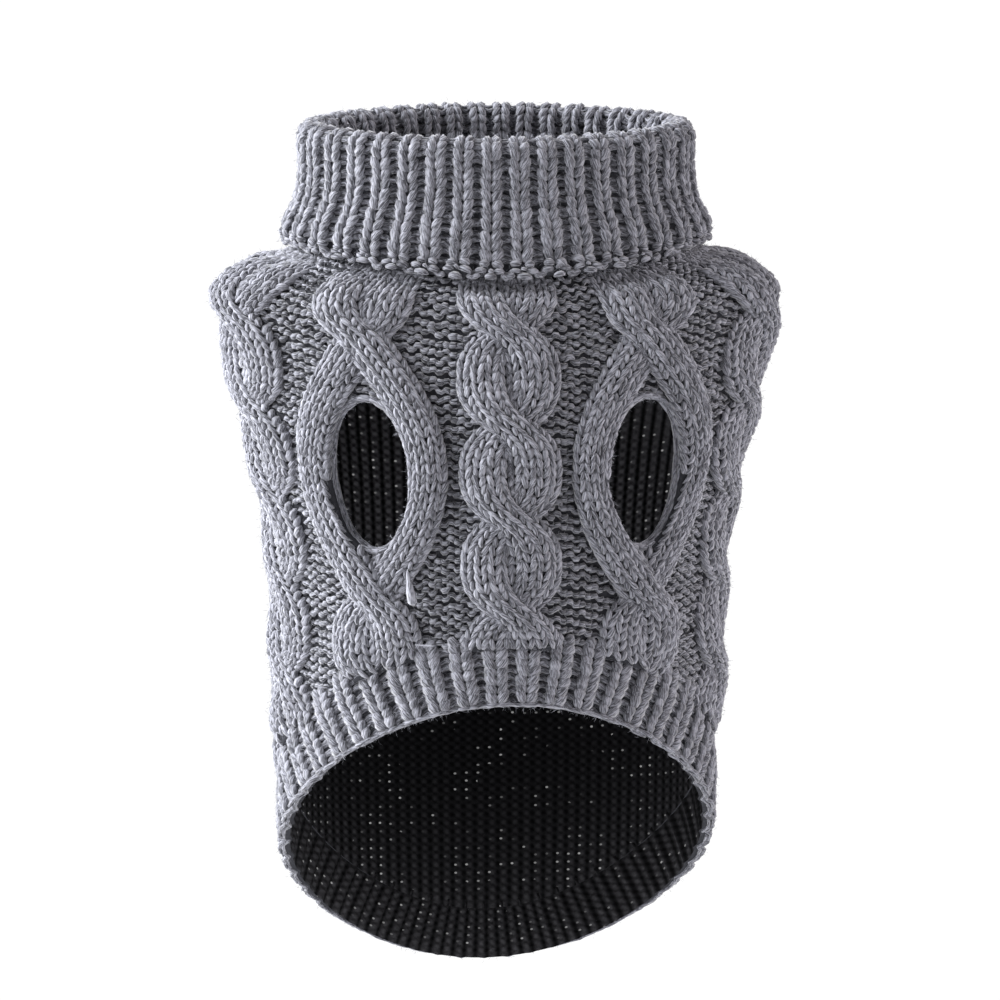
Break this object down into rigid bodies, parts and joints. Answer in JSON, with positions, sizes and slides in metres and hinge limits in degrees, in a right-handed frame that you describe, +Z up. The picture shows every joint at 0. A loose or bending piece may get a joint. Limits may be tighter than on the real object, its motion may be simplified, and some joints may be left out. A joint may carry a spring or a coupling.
{
  "type": "dog sweater",
  "caption": "Cable-knit dog sweater, filled out with no wearer: turned-down ribbed collar, two leg holes in the belly, and an arched ribbed hem that is longer at the back.",
  "frame": {"origin": "centre of the neck seam, where the collar joins the body and the wearer's neck carries the garment", "axes": "+Z up through the collar, -Y out of the belly, where the leg holes are, +Y out of the back, +X across to the right as seen from the belly side"},
  "size_m": [0.1879, 0.1364, 0.3044],
  "materials": {
    "cable_wool": "matte grey heather yarn in chunky cables on purl ground, slightly fuzzy",
    "rib_wool": "matte grey heather yarn in one-by-one ribbing, slightly fuzzy"
  },
  "bodies": {
    "root": {"belly_panel": "cable_wool", "back_panel": "cable_wool", "belly_hem_rib": "rib_wool", "back_hem_rib": "rib_wool", "collar": "rib_wool"}
  },
  "joints": []
}
